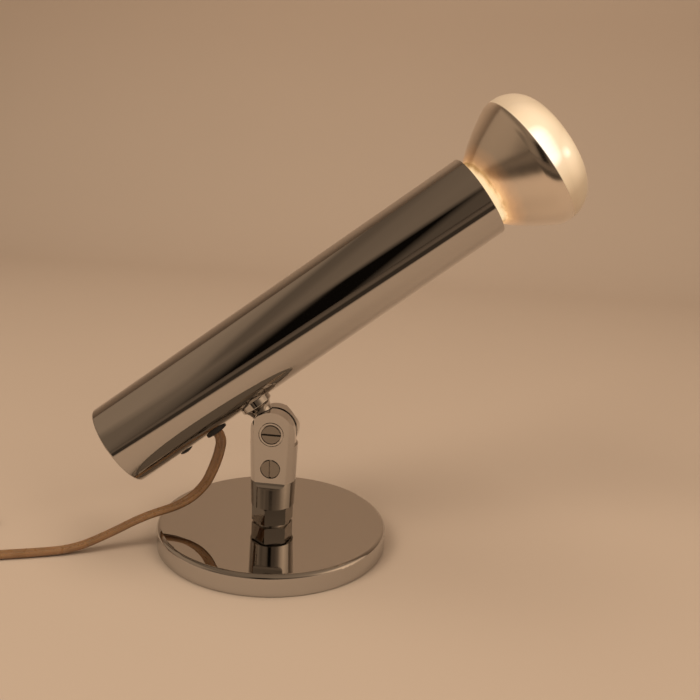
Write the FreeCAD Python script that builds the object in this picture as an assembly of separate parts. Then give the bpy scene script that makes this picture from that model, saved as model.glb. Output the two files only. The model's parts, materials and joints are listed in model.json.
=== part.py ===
import FreeCAD, Part
import math
import os

from FreeCAD import Placement, Rotation, Vector

# Searchlight table lamp: a chrome tube with a reflector bulb in its mouth, on a half-lap swivel
# knuckle and a heavy round base. Millimetres, +Z up, origin at the centre of the base's underside.
# The tube's mouth points toward +X, and the swivel's tilt axis is the Y axis at the pivot's height.

# Base
base_diameter = 160.0
base_height = 15.1
base_wall = 1.4
base_edge_radius = 3.1
base_rim_lift = 0.6
felt_thickness = 1.6
felt_gap = 0.4
weight_gap = 0.3
weight_chamfer = 2.2
nut_recess_diameter = 30.0
nut_recess_depth = 9.0

# Spindle that the knuckle turns on, with its lock nut and its stud through the base
stud_diameter = 10.0
stud_hole_gap = 0.2
stud_end_lift = 0.8
stud_nut_across_flats = 17.0
stud_nut_height = 6.0
stud_washer_diameter = 24.0
stud_washer_thickness = 1.5
foot_diameter = 24.6
foot_height = 1.0
collar_across_corners = 29.0
collar_height = 12.0
collar_chamfer = 0.8
collar_turn = 20.0
thread_gap = 0.05
spindle_diameter = 13.0
spindle_above_screw = 5.0
groove_floor_diameter = 8.8
thrust_washer_diameter = 24.0
thrust_washer_thickness = 0.5

# Lower half of the swivel knuckle
turning_gap = 0.3
running_gap = 0.05
shank_length = 54.0
shank_bottom_diameter = 30.2
shank_middle_diameter = 32.0
shank_top_diameter = 33.5
across_flats = 23.4
flat_start = 15.0
flat_run_out = 4.2
cheek_radius = 15.4
shoulder_drop = 9.4
lap_gap = 0.2
spindle_bore_spare = 1.2

# Slotted screws of the knuckle
screw_head_diameter = 13.2
screw_head_height = 2.6
screw_head_round = 0.5
slot_width = 1.7
slot_depth = 1.8
head_gap = 0.35
counterbore_depth = 2.2
ring_diameter = 16.6
ring_proud = 0.2
pivot_pin_diameter = 8.0
pivot_nut_across_flats = 12.0
pivot_nut_height = 3.1
spring_washer_thickness = 1.0
spring_washer_diameter = 13.0
nut_pocket_gap = 0.6
nut_pocket_depth = 4.5
screw_spacing = 25.0
retaining_pin_diameter = 6.4

# Upper half of the swivel knuckle
lug_radius = 16.0
lug_rim_round = 3.0
lug_side_spare = 1.5
neck_waist_diameter = 15.6
neck_waist_height = 14.0
neck_top_diameter = 21.4
neck_flare_diameter = 17.0
neck_flare_share = 0.55
saddle_thickness = 2.8
spigot_diameter = 9.6
saddle_diameter = 22.6
saddle_edge_round = 0.8

# Rest pose
tube_tilt = 37.42
tube_turn = 12.12
pivot_to_tube_axis = 52.0

# Lamp tube, its ends and what is let into it. Places along it count from the stem.
tube_diameter = 58.0
tube_wall = 1.3
tube_back = 93.0
tube_front = 204.3
mouth_round = 0.5
end_cap_thickness = 1.4
end_cap_round = 1.0
end_cap_skirt = 8.0
end_cap_skirt_wall = 1.0
inner_washer_diameter = 18.0
inner_washer_thickness = 1.4
stem_nut_across_flats = 15.0
stem_nut_height = 5.0
spigot_spare = 1.5

# Push switch
switch_place = -57.6
button_diameter = 9.2
button_stand = 1.9
button_travel = 1.5
button_length = 13.0
button_dome = 1.2
button_gap = 0.2
switch_diameter = 17.0
switch_height = 20.0
tab_width = 4.8
tab_thickness = 0.8
tab_height = 6.0
tab_spacing = 9.0

# Cord bushing and the cord's own section
bushing_place = -33.0
bushing_diameter = 15.2
bushing_stand = 2.0
bushing_round = 0.8
bushing_neck_diameter = 11.6
bushing_lip_diameter = 13.4
bushing_lip_height = 1.6
cord_width = 7.4
cord_thickness = 3.7
cord_inside = 11.0
wire_diameter = 2.4
wire_rise = 8.0
wire_reach = 14.0

# Lamp socket
plate_place = 113.0
plate_thickness = 1.2
plate_rim = 8.0
plate_gap = 0.05
vent_count = 6
vent_diameter = 8.0
vent_circle_diameter = 46.0
socket_diameter = 39.0
socket_length = 47.0
socket_floor = 9.0
socket_mouth_round = 1.5
boss_diameter = 16.0
boss_length = 9.0
socket_nut_across_flats = 21.0
socket_nut_height = 4.0
shell_wall = 0.5
shell_gap = 0.15
shell_step = 1.0
contact_diameter = 9.0
terminal_spacing = 9.0
terminal_length = 4.0

# Reflector bulb: screw cap, blown envelope and its mount
bulb_stand_out = 64.5
bulb_length = 136.5
bulb_diameter = 95.2
cap_diameter = 26.0
cap_length = 25.0
cap_gap = 0.3
cap_wall = 0.5
tip_diameter = 9.5
tip_height = 2.2
insulator_diameter = 22.0
glass_wall = 0.9
neck_diameter = 36.0
bulb_radius_at_mouth = 21.5
reflector_focus = 12.5
reflector_depth = 33.0
corner_radius = 22.6
widest_place = 41.0
filament_place = 10.0
filament_radius = 9.0
filament_wire = 0.9
mount_diameter = 13.0

# Flat twin cord, its coil and its plug
cord_tube_diameter = 5.6
table_lift = 0.0
coil_centre = Vector(-250.0, -46.0, 0.0)
coil_start_angle = 291.7
coil_outer_radius = 49.0
coil_pitch = 6.3
coil_layer_pitch = 6.3
coil_layer_turns = 2.875
coil_lift = 0.6
coil_steps_per_turn = 4
exit_straight = 5.0
lead_straight = 20.0
tail_straight = 12.0
tail_reach = 13.0
tie_width = 7.0
tie_thickness = 0.45
tie_gap = 0.3
tie_angle = 20.0
plug_width = 22.0
plug_relief_diameter = 8.8
plug_relief_length = 14.0
plug_body_length = 25.0
plug_nose_length = 6.0
plug_shoulder_swell = 0.9
plug_draw_in = 0.6
plug_edge_round = 2.4
plug_clearance = 0.1
blade_gap = 0.02
blade_length = 17.0
blade_width = 6.35
blade_thickness = 1.5
blade_spacing = 12.7
tail_turn = 8.0

# Worked out from the sizes above
base_radius = base_diameter / 2
foot_top = base_height + foot_height
collar_top = foot_top + collar_height
knuckle_bottom = collar_top + thrust_washer_thickness + turning_gap
pivot_height = knuckle_bottom + shank_length
retaining_height = pivot_height - screw_spacing
half_flats = across_flats / 2
tube_radius = tube_diameter / 2
tube_inside = tube_radius - tube_wall
underside = pivot_to_tube_axis - tube_radius
inner_floor = underside + tube_wall
neck_top_height = underside - saddle_thickness

X = Vector(1, 0, 0)
Y = Vector(0, 1, 0)
Z = Vector(0, 0, 1)
ORIGIN = Vector(0, 0, 0)

HEAD = Placement(Vector(0, 0, pivot_height), Rotation(Y, -tube_tilt))
TUBE = HEAD.multiply(Placement(ORIGIN, Rotation(Z, tube_turn)))


def placed(shape, frame):
    """A copy of the shape in another frame."""
    moved = shape.copy()
    moved.Placement = frame.multiply(shape.Placement)
    return moved


def rod(diameter, start, axis, length):
    """A round bar from a point, along an axis."""
    return Part.makeCylinder(diameter / 2, length, start, axis)


def block(low, high):
    """A box between two corners."""
    size = high - low
    return Part.makeBox(size.x, size.y, size.z, low)


def line(a, b):
    return Part.LineSegment(a, b).toShape()


def arc(a, middle, b):
    return Part.Arc(a, middle, b).toShape()


def polygon(points):
    """The straight edges through the points, closed."""
    return [line(a, b) for a, b in zip(points, points[1:] + points[:1])]


def turned(edges, axis):
    """The solid turned from a closed outline about an axis through the origin."""
    return Part.Face(Part.Wire(edges)).revolve(ORIGIN, axis, 360)


def turned_z(points):
    """A turned solid from (radius, height) pairs."""
    return turned(polygon([Vector(r, 0, z) for r, z in points]), Z)


def turned_x(points, height):
    """A turned solid about the tube's axis from (place, radius) pairs."""
    solid = turned(polygon([Vector(a, 0, r) for a, r in points]), X)
    solid.translate(Vector(0, 0, height))
    return solid


def hexagon(across_flats_size, start, axis, length, turn=0.0):
    """A hexagonal bar with its flats that far apart."""
    corner = across_flats_size / math.sqrt(3)
    angles = [math.radians(60 * k + turn) for k in range(6)]
    ring = [Vector(corner * math.cos(a), corner * math.sin(a), 0) for a in angles]
    bar = Part.Face(Part.Wire(polygon(ring))).extrude(Z * length)
    bar.Placement = Placement(start, Rotation(Z, axis))
    return bar


def corner_arc(centre, radius, start_angle, end_angle):
    """An arc in the XZ plane about a centre, with its angles from X toward Z."""
    at = [math.radians(a) for a in (start_angle, (start_angle + end_angle) / 2, end_angle)]
    spots = [centre + Vector(radius * math.cos(a), 0, radius * math.sin(a)) for a in at]
    return arc(*spots)


def edges_at(shape, test):
    """The edges of a shape whose middle passes a test."""
    return [e for e in shape.Edges if test(e.valueAt((e.FirstParameter + e.LastParameter) / 2), e)]


# The base: a spun shell over a cast weight, with felt under it

def base_shell():
    outer = base_radius
    inner = base_radius - base_wall
    hole = stud_diameter / 2 + stud_hole_gap
    top = base_height
    under = base_height - base_wall
    flank = base_height - base_edge_radius
    shoulder = base_radius - base_edge_radius
    inner_round = base_edge_radius - base_wall
    outline = [
        line(Vector(outer, 0, base_rim_lift), Vector(outer, 0, flank)),
        corner_arc(Vector(shoulder, 0, flank), base_edge_radius, 0, 90),
        line(Vector(shoulder, 0, top), Vector(hole, 0, top)),
        line(Vector(hole, 0, top), Vector(hole, 0, under)),
        line(Vector(hole, 0, under), Vector(shoulder, 0, under)),
        corner_arc(Vector(shoulder, 0, flank), inner_round, 90, 0),
        line(Vector(inner, 0, flank), Vector(inner, 0, base_rim_lift)),
        line(Vector(inner, 0, base_rim_lift), Vector(outer, 0, base_rim_lift)),
    ]
    return turned(outline, Z)


def base_weight():
    outer = base_radius - base_wall - weight_gap
    top = base_height - base_wall
    recess = felt_thickness + nut_recess_depth
    bore = stud_diameter / 2 + stud_hole_gap
    return turned_z([
        (nut_recess_diameter / 2, felt_thickness),
        (outer, felt_thickness),
        (outer, top - weight_chamfer),
        (outer - weight_chamfer, top),
        (bore, top),
        (bore, recess),
        (nut_recess_diameter / 2, recess),
    ])


def felt_pad():
    return rod(base_diameter - 2 * (base_wall + felt_gap), ORIGIN, Z, felt_thickness)


def stud_washer():
    top = felt_thickness + nut_recess_depth
    start = Vector(0, 0, top - stud_washer_thickness)
    disc = rod(stud_washer_diameter, start, Z, stud_washer_thickness)
    return disc.cut(rod(stud_diameter + 2 * thread_gap, start, Z, stud_washer_thickness))


def stud_nut():
    top = felt_thickness + nut_recess_depth - stud_washer_thickness
    start = Vector(0, 0, top - stud_nut_height)
    nut = hexagon(stud_nut_across_flats, start, Z, stud_nut_height)
    return nut.cut(rod(stud_diameter + 2 * thread_gap, start, Z, stud_nut_height))


# The spindle: foot on the base, stud below it, and a grooved pin that the knuckle turns on

def spindle():
    stud = stud_diameter / 2
    pin = spindle_diameter / 2
    groove = groove_floor_diameter / 2
    half_groove = retaining_pin_diameter / 2 + turning_gap
    pin_top = retaining_height + spindle_above_screw
    return turned_z([
        (0, felt_thickness + stud_end_lift),
        (stud, felt_thickness + stud_end_lift),
        (stud, base_height),
        (foot_diameter / 2, base_height),
        (foot_diameter / 2, foot_top),
        (pin, foot_top),
        (pin, retaining_height - half_groove),
        (groove, retaining_height - half_groove),
        (groove, retaining_height + half_groove),
        (pin, retaining_height + half_groove),
        (pin, pin_top),
        (0, pin_top),
    ])


def collar_nut():
    flats = collar_across_corners * math.sqrt(3) / 2
    start = Vector(0, 0, foot_top)
    nut = hexagon(flats, start, Z, collar_height, collar_turn)
    corner = collar_across_corners / 2
    crown = turned_z([
        (0, foot_top),
        (corner - collar_chamfer, foot_top),
        (corner, foot_top + collar_chamfer / 2),
        (corner, collar_top - collar_chamfer / 2),
        (corner - collar_chamfer, collar_top),
        (0, collar_top),
    ])
    bore = rod(spindle_diameter + 2 * thread_gap, start, Z, collar_height)
    return nut.common(crown).cut(bore)


def thrust_washer():
    start = Vector(0, 0, collar_top)
    disc = rod(thrust_washer_diameter, start, Z, thrust_washer_thickness)
    return disc.cut(rod(spindle_diameter + 2 * thread_gap, start, Z, thrust_washer_thickness))


# The swivel knuckle: two half-lapped pieces that tilt about one pivot screw

def flat_cutter(side):
    """What the front (-1) or back (+1) flat takes off the shank, with its rounded run-out."""
    face = side * half_flats
    far = side * shank_top_diameter
    low = knuckle_bottom + flat_start
    high = pivot_height + shank_top_diameter
    half = shank_top_diameter
    bend = Vector(-half, face + side * flat_run_out, low + flat_run_out)
    drop = flat_run_out * math.sqrt(0.5)
    outline = [
        line(Vector(-half, face, high), Vector(-half, face, bend.z)),
        arc(
            Vector(-half, face, bend.z),
            Vector(-half, bend.y - side * drop, bend.z - drop),
            Vector(-half, bend.y, low),
        ),
        line(Vector(-half, bend.y, low), Vector(-half, far, low)),
        line(Vector(-half, far, low), Vector(-half, far, high)),
        line(Vector(-half, far, high), Vector(-half, face, high)),
    ]
    return Part.Face(Part.Wire(outline)).extrude(X * 2 * half)


def shank_stock():
    """The tapered round bar that the lower half is cut from."""
    middle = (knuckle_bottom + pivot_height) / 2
    top = pivot_height + shank_top_diameter
    low = Vector(shank_bottom_diameter / 2, 0, knuckle_bottom)
    swell = Vector(shank_middle_diameter / 2, 0, middle)
    high = Vector(shank_top_diameter / 2, 0, pivot_height)
    end = Vector(high.x, 0, top)
    outline = [
        line(Vector(0, 0, knuckle_bottom), low),
        arc(low, swell, high),
        line(high, end),
        line(end, Vector(0, 0, top)),
        line(Vector(0, 0, top), Vector(0, 0, knuckle_bottom)),
    ]
    return turned(outline, Z)


def knuckle_body():
    reach = shank_top_diameter
    shoulder = pivot_height - shoulder_drop
    pivot = Vector(0, -reach, pivot_height)
    cheek = rod(2 * cheek_radius, pivot, Y, 2 * reach)
    cheek = cheek.fuse(block(
        Vector(-cheek_radius, -reach, shoulder), Vector(cheek_radius, reach, pivot_height)
    ))
    envelope = cheek.fuse(block(Vector(-reach, -reach, 0), Vector(reach, reach, shoulder)))
    body = shank_stock().common(envelope)
    for side in (-1, 1):
        body = body.cut(flat_cutter(side))
    lap = -lap_gap / 2
    lug_room = 2 * (lug_radius + turning_gap)
    body = body.cut(rod(lug_room, Vector(0, lap, pivot_height), Y, reach))
    body = body.cut(block(Vector(-reach, lap, shoulder), Vector(reach, reach, 2 * pivot_height)))
    bore_top = retaining_height + spindle_above_screw + spindle_bore_spare
    spindle_bore = rod(spindle_diameter + 2 * running_gap, Vector(0, 0, 0), Z, bore_top)
    body = body.cut(spindle_bore)
    front = Vector(0, -half_flats, 0)
    for height, head in ((pivot_height, ring_diameter), (retaining_height, screw_head_diameter)):
        start = front + Z * height
        body = body.cut(rod(head + 2 * head_gap, start, Y, counterbore_depth))
    pin_hole = pivot_pin_diameter + 2 * thread_gap
    body = body.cut(rod(pin_hole, front + Z * pivot_height, Y, half_flats))
    screw_hole = retaining_pin_diameter + 2 * thread_gap
    return body.cut(rod(screw_hole, front + Z * retaining_height, Y, half_flats))


def slotted_screw(height, pin, length, slot_turn):
    """A cheese-headed screw let into the front flat, with its head's slot turned by an angle."""
    seat = counterbore_depth - half_flats
    face = seat - screw_head_height
    radius = screw_head_diameter / 2
    outline = [
        line(Vector(0, face, 0), Vector(radius - screw_head_round, face, 0)),
        arc(
            Vector(radius - screw_head_round, face, 0),
            Vector(radius - screw_head_round * (1 - math.sqrt(0.5)),
                   face + screw_head_round * (1 - math.sqrt(0.5)), 0),
            Vector(radius, face + screw_head_round, 0),
        ),
        line(Vector(radius, face + screw_head_round, 0), Vector(radius, seat, 0)),
        line(Vector(radius, seat, 0), Vector(pin / 2, seat, 0)),
        line(Vector(pin / 2, seat, 0), Vector(pin / 2, seat + length, 0)),
        line(Vector(pin / 2, seat + length, 0), Vector(0, seat + length, 0)),
        line(Vector(0, seat + length, 0), Vector(0, face, 0)),
    ]
    screw = turned(outline, Y)
    slot = block(
        Vector(-radius, face, -slot_width / 2), Vector(radius, face + slot_depth, slot_width / 2)
    )
    slot.rotate(ORIGIN, Y, slot_turn)
    screw = screw.cut(slot)
    screw.translate(Z * height)
    return screw


def pivot_screw():
    end = half_flats - turning_gap
    return slotted_screw(pivot_height, pivot_pin_diameter, end + half_flats - counterbore_depth, 0)


def retaining_screw():
    tip = -groove_floor_diameter / 2 - turning_gap
    length = tip + half_flats - counterbore_depth
    return slotted_screw(retaining_height, retaining_pin_diameter, length, 90)


def pivot_ring():
    depth = counterbore_depth + ring_proud
    start = Vector(0, -half_flats - ring_proud, pivot_height)
    ring = rod(ring_diameter, start, Y, depth)
    rim = edges_at(ring, lambda p, e: abs(p.y - start.y) < 0.01)
    ring = ring.makeFillet(ring_proud, rim)
    return ring.cut(rod(screw_head_diameter + 2 * head_gap, start, Y, depth))


def spring_washer():
    start = Vector(0, half_flats - nut_pocket_depth + lap_gap / 2, pivot_height)
    disc = rod(spring_washer_diameter, start, Y, spring_washer_thickness)
    return disc.cut(rod(pivot_pin_diameter + 2 * thread_gap, start, Y, spring_washer_thickness))


def pivot_nut():
    face = half_flats - nut_pocket_depth + lap_gap / 2 + spring_washer_thickness
    start = Vector(0, face, pivot_height)
    nut = hexagon(pivot_nut_across_flats, start, Y, pivot_nut_height)
    return nut.cut(rod(pivot_pin_diameter + 2 * thread_gap, start, Y, pivot_nut_height))


def knuckle_lug():
    """The upper half: a round lug behind the cheek, a waisted neck and a threaded spigot."""
    near = lap_gap / 2
    outline = [
        line(Vector(0, near, 0), Vector(lug_radius, near, 0)),
        line(Vector(lug_radius, near, 0), Vector(lug_radius, half_flats - lug_rim_round, 0)),
        arc(
            Vector(lug_radius, half_flats - lug_rim_round, 0),
            Vector(lug_radius - lug_rim_round * (1 - math.sqrt(0.5)),
                   half_flats - lug_rim_round * (1 - math.sqrt(0.5)), 0),
            Vector(lug_radius - lug_rim_round, half_flats, 0),
        ),
        line(Vector(lug_radius - lug_rim_round, half_flats, 0), Vector(0, half_flats, 0)),
        line(Vector(0, half_flats, 0), Vector(0, near, 0)),
    ]
    lug = turned(outline, Y)
    side = rod(2 * lug_radius + lug_side_spare, Vector(0, 0, -lug_radius), Z, 2 * lug_radius)
    lug = lug.common(side)
    waist = neck_waist_diameter / 2
    flare = neck_flare_diameter / 2
    top = neck_top_diameter / 2
    flare_height = neck_waist_height + neck_flare_share * (neck_top_height - neck_waist_height)
    neck = turned([
        line(ORIGIN, Vector(waist, 0, 0)),
        line(Vector(waist, 0, 0), Vector(waist, 0, neck_waist_height)),
        arc(
            Vector(waist, 0, neck_waist_height),
            Vector(flare, 0, flare_height),
            Vector(top, 0, neck_top_height),
        ),
        line(Vector(top, 0, neck_top_height), Vector(0, 0, neck_top_height)),
        line(Vector(0, 0, neck_top_height), ORIGIN),
    ], Z)
    cheek_room = 2 * (cheek_radius + turning_gap)
    neck = neck.cut(rod(cheek_room, Vector(0, near - lug_radius, 0), Y, lug_radius))
    spigot_top = inner_floor + inner_washer_thickness + stem_nut_height + spigot_spare
    spigot = rod(spigot_diameter, Z * neck_top_height, Z, spigot_top - neck_top_height)
    body = lug.fuse(neck).fuse(spigot)
    body = body.cut(rod(pivot_pin_diameter + 2 * running_gap, ORIGIN, Y, half_flats))
    pocket = pivot_nut_across_flats * 2 / math.sqrt(3) + 2 * nut_pocket_gap
    floor = half_flats - nut_pocket_depth
    body = body.cut(rod(pocket, Vector(0, floor, 0), Y, nut_pocket_depth))
    return placed(body.removeSplitter(), HEAD)


# The tube and what closes or seats on it, drawn with the tube's axis along X above the pivot

def tube_bar(radius, start, end):
    """A round bar on the tube's axis between two places along it."""
    return rod(2 * radius, Vector(start, 0, pivot_to_tube_axis), X, end - start)


def saddle_washer():
    """The collar between neck and tube, hollowed to sit on the tube."""
    height = pivot_to_tube_axis - neck_top_height
    collar = rod(saddle_diameter, Z * neck_top_height, Z, height)
    rim = edges_at(collar, lambda p, e: abs(p.z - neck_top_height) < 0.01)
    collar = collar.makeFillet(saddle_edge_round, rim)
    collar = collar.cut(tube_bar(tube_radius, -saddle_diameter, saddle_diameter))
    hole = rod(spigot_diameter + 2 * thread_gap, Z * neck_top_height, Z, height)
    return placed(collar.cut(hole), TUBE)


def inner_washer():
    """The washer inside the tube, rounded to lie in its floor."""
    top = inner_floor + inner_washer_thickness
    disc = rod(inner_washer_diameter, Z * underside, Z, top - underside)
    disc = disc.common(tube_bar(tube_inside, -inner_washer_diameter, inner_washer_diameter))
    hole = rod(spigot_diameter + 2 * thread_gap, Z * underside, Z, top - underside)
    return placed(disc.cut(hole), TUBE)


def stem_nut():
    start = Z * (inner_floor + inner_washer_thickness)
    nut = hexagon(stem_nut_across_flats, start, Z, stem_nut_height)
    return placed(nut.cut(rod(spigot_diameter + 2 * thread_gap, start, Z, stem_nut_height)), TUBE)


def lamp_tube():
    start = -tube_back + end_cap_thickness
    tube = tube_bar(tube_radius, start, tube_front)
    rim = edges_at(tube, lambda p, e: abs(p.x - tube_front) < 0.01)
    tube = tube.makeFillet(mouth_round, rim)
    tube = tube.cut(tube_bar(tube_inside, start, tube_front))
    holes = (
        (0, spigot_diameter + 2 * thread_gap),
        (bushing_place, bushing_neck_diameter),
        (switch_place, button_diameter + 2 * button_gap),
    )
    for place, diameter in holes:
        tube = tube.cut(rod(diameter, Vector(place, 0, underside - tube_wall), Z, tube_radius))
    return placed(tube, TUBE)


def end_cap():
    """The pressed cap that closes the back end, with a skirt inside the tube."""
    back = -tube_back
    inside = back + end_cap_thickness
    cap = tube_bar(tube_radius, back, inside)
    rim = edges_at(cap, lambda p, e: abs(p.x - back) < 0.01)
    cap = cap.makeFillet(end_cap_round, rim)
    skirt_radius = tube_inside - plate_gap
    skirt = tube_bar(skirt_radius, inside, inside + end_cap_skirt)
    bore = tube_bar(skirt_radius - end_cap_skirt_wall, inside, inside + end_cap_skirt)
    return placed(cap.fuse(skirt.cut(bore)).removeSplitter(), TUBE)


# The push switch in the tube's underside

def switch_body():
    """A round housing that lies against the tube's wall, with the button's bore and two tabs."""
    top = inner_floor + switch_height
    body = rod(switch_diameter, Vector(switch_place, 0, underside), Z, top - underside)
    reach = switch_diameter
    body = body.common(tube_bar(tube_inside, switch_place - reach, switch_place + reach))
    bore_top = underside - button_stand + button_length + button_travel + turning_gap
    bore = button_diameter + 2 * button_gap
    body = body.cut(rod(bore, Vector(switch_place, 0, 0), Z, bore_top))
    for side in (-1, 1):
        middle = Vector(switch_place + side * tab_spacing / 2, 0, top)
        half = Vector(tab_thickness / 2, tab_width / 2, 0)
        body = body.fuse(block(middle - half, middle + half + Z * tab_height))
    return placed(body, TUBE)


def switch_button():
    low = underside - button_stand
    radius = button_diameter / 2
    rim = low + button_dome
    top = low + button_length
    outline = [
        arc(Vector(-radius, 0, rim), Vector(0, 0, low), Vector(radius, 0, rim)),
        line(Vector(radius, 0, rim), Vector(radius, 0, top)),
        line(Vector(radius, 0, top), Vector(-radius, 0, top)),
        line(Vector(-radius, 0, top), Vector(-radius, 0, rim)),
    ]
    half = Part.Face(Part.Wire(outline)).common(
        Part.Face(Part.Wire(polygon([Vector(0, 0, 0), Vector(radius, 0, 0),
                                     Vector(radius, 0, top), Vector(0, 0, top)])))
    )
    button = half.Faces[0].revolve(ORIGIN, Z, 360)
    button.translate(X * switch_place)
    return placed(button, TUBE)


# The cord's way in: a rubber bushing, the cord through it and the wires inside the tube

def flat_section(width, thickness, centre):
    """The rounded outline of the twin cord, its width along X."""
    half = (width - thickness) / 2
    r = thickness / 2
    return Part.Wire([
        line(centre + Vector(-half, -r, 0), centre + Vector(half, -r, 0)),
        arc(centre + Vector(half, -r, 0), centre + Vector(half + r, 0, 0), centre + Vector(half, r, 0)),
        line(centre + Vector(half, r, 0), centre + Vector(-half, r, 0)),
        arc(centre + Vector(-half, r, 0), centre + Vector(-half - r, 0, 0),
            centre + Vector(-half, -r, 0)),
    ])


def cord_bushing():
    foot = Vector(bushing_place, 0, underside - bushing_stand)
    lip_top = inner_floor + bushing_lip_height
    flange = rod(bushing_diameter, foot, Z, tube_radius)
    rim = edges_at(flange, lambda p, e: abs(p.z - foot.z) < 0.01)
    flange = flange.makeFillet(bushing_round, rim)
    reach = bushing_diameter
    flange = flange.cut(tube_bar(tube_radius, foot.x - reach, foot.x + reach))
    neck = rod(bushing_neck_diameter - 2 * thread_gap, foot + Z * bushing_round, Z,
               lip_top - foot.z - bushing_round)
    lip = rod(bushing_lip_diameter, Vector(foot.x, 0, underside), Z, lip_top - underside)
    lip = lip.common(tube_bar(tube_inside, foot.x - reach, foot.x + reach))
    slot = Part.Face(flat_section(cord_width + 2 * thread_gap, cord_thickness + 2 * thread_gap, foot))
    body = flange.fuse(neck).fuse(lip).cut(slot.extrude(Z * tube_radius))
    return placed(body, TUBE)


def cord_inlet():
    """The cord's stretch inside the bushing and the first of it inside the tube."""
    foot = Vector(bushing_place, 0, underside - bushing_stand)
    stretch = Part.Face(flat_section(cord_width, cord_thickness, foot))
    return placed(stretch.extrude(Z * (bushing_stand + tube_wall + cord_inside)), TUBE)


def tangent_arcs(points):
    """Straight runs through the points, joined by arcs as large as the runs allow."""
    edges = []
    radii = []
    here = points[0]
    for before, at, after in zip(points, points[1:], points[2:]):
        run_in = at - before
        run_out = after - at
        turn = run_in.getAngle(run_out)
        reach = 0.45 * min(run_in.Length, run_out.Length)
        to_before = (before - at).normalize()
        to_after = (after - at).normalize()
        start = at + to_before * reach
        end = at + to_after * reach
        radius = reach / math.tan(turn / 2)
        inward = (to_before + to_after).normalize()
        middle = at + inward * (math.hypot(radius, reach) - radius)
        edges.append(line(here, start))
        edges.append(arc(start, middle, end))
        radii.append(radius)
        here = end
    edges.append(line(here, points[-1]))
    return edges, radii


def swept(edges, diameter):
    """A round tube along a path of straight runs and arcs."""
    path = Part.Wire(edges)
    start = edges[0].valueAt(edges[0].FirstParameter)
    along = edges[0].tangentAt(edges[0].FirstParameter)
    section = Part.Wire([Part.Circle(start, along, diameter / 2).toShape()])
    return path.makePipeShell([section], True, False)


def inner_wires():
    """The cord's two wires and the link from switch to socket, by node name."""
    cord_top = inner_floor + cord_inside
    half = (cord_width - cord_thickness) / 2
    axis = pivot_to_tube_axis
    tab = inner_floor + switch_height + tab_height
    beside_tab = tab_spacing / 2 + tab_thickness / 2 + wire_diameter / 2 + thread_gap
    socket_back = plate_place - boss_length - terminal_length
    side = terminal_spacing / 2
    clear = wire_diameter / 2
    routes = {
        "wire_live": [
            Vector(bushing_place - half, 0, cord_top),
            Vector(bushing_place - half, 0, cord_top + wire_rise),
            Vector(bushing_place - wire_rise, 0, tab + wire_diameter),
            Vector(switch_place + beside_tab, 0, tab - 1),
            Vector(switch_place + beside_tab, 0, tab - tab_height + thread_gap),
        ],
        "wire_neutral": [
            Vector(bushing_place + half, 0, cord_top),
            Vector(bushing_place + half, 0, cord_top + wire_rise),
            Vector(bushing_place + 15, 4, axis - 5),
            Vector(30, side + 2, axis + 1),
            Vector(socket_back - wire_reach, side + 1, axis),
            Vector(socket_back - clear, side, axis),
        ],
        "wire_switched": [
            Vector(switch_place - beside_tab, 0, tab - tab_height + thread_gap),
            Vector(switch_place - beside_tab, 0, tab + 2),
            Vector(switch_place + 4, -4, axis + 12),
            Vector(20, -side - 3, axis + 4),
            Vector(socket_back - wire_reach, -side - 1, axis),
            Vector(socket_back - clear, -side, axis),
        ],
    }
    return {name: placed(swept(tangent_arcs(route)[0], wire_diameter), TUBE)
            for name, route in routes.items()}


# The lamp socket on its vented plate

def socket_plate():
    radius = tube_inside - plate_gap
    start = plate_place
    end = plate_place + plate_thickness
    plate = tube_bar(radius, start, end + plate_rim)
    plate = plate.cut(tube_bar(radius - plate_thickness, end, end + plate_rim))
    plate = plate.cut(tube_bar(boss_diameter / 2 + thread_gap, start, end))
    for k in range(vent_count):
        angle = 2 * math.pi * k / vent_count
        spot = Vector(start, math.cos(angle), math.sin(angle))
        centre = Vector(start, spot.y * vent_circle_diameter / 2,
                        pivot_to_tube_axis + spot.z * vent_circle_diameter / 2)
        plate = plate.cut(rod(vent_diameter, centre, X, plate_thickness))
    return placed(plate, TUBE)


def socket_cavity():
    """The radius and the floor's place of the hollow for the screw shell."""
    radius = cap_diameter / 2 + cap_gap + shell_wall + shell_gap
    return radius, plate_place + plate_thickness + socket_floor


def socket_body():
    start = plate_place + plate_thickness
    end = start + socket_length
    body = tube_bar(socket_diameter / 2, start, end)
    rim = edges_at(body, lambda p, e: abs(p.x - end) < 0.01)
    body = body.makeFillet(socket_mouth_round, rim)
    radius, floor = socket_cavity()
    body = body.cut(tube_bar(radius, floor, end))
    boss = tube_bar(boss_diameter / 2, plate_place - boss_length, start)
    for side in (-1, 1):
        back = Vector(plate_place - boss_length - terminal_length, side * terminal_spacing / 2,
                      pivot_to_tube_axis)
        boss = boss.fuse(rod(terminal_length, back, X, terminal_length))
    return placed(body.fuse(boss).removeSplitter(), TUBE)


def socket_nut():
    start = Vector(plate_place - socket_nut_height, 0, pivot_to_tube_axis)
    nut = hexagon(socket_nut_across_flats, start, X, socket_nut_height)
    bore = tube_bar(boss_diameter / 2 + thread_gap, start.x, plate_place)
    return placed(nut.cut(bore), TUBE)


def socket_shell():
    radius, floor = socket_cavity()
    outer = radius - shell_gap
    end = plate_place + plate_thickness + socket_length - shell_step
    shell = tube_bar(outer, floor, end).cut(tube_bar(outer - shell_wall, floor + shell_wall, end))
    opening = tube_bar(contact_diameter / 2 + 2 * shell_step, floor, floor + shell_wall)
    return placed(shell.cut(opening), TUBE)


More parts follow.
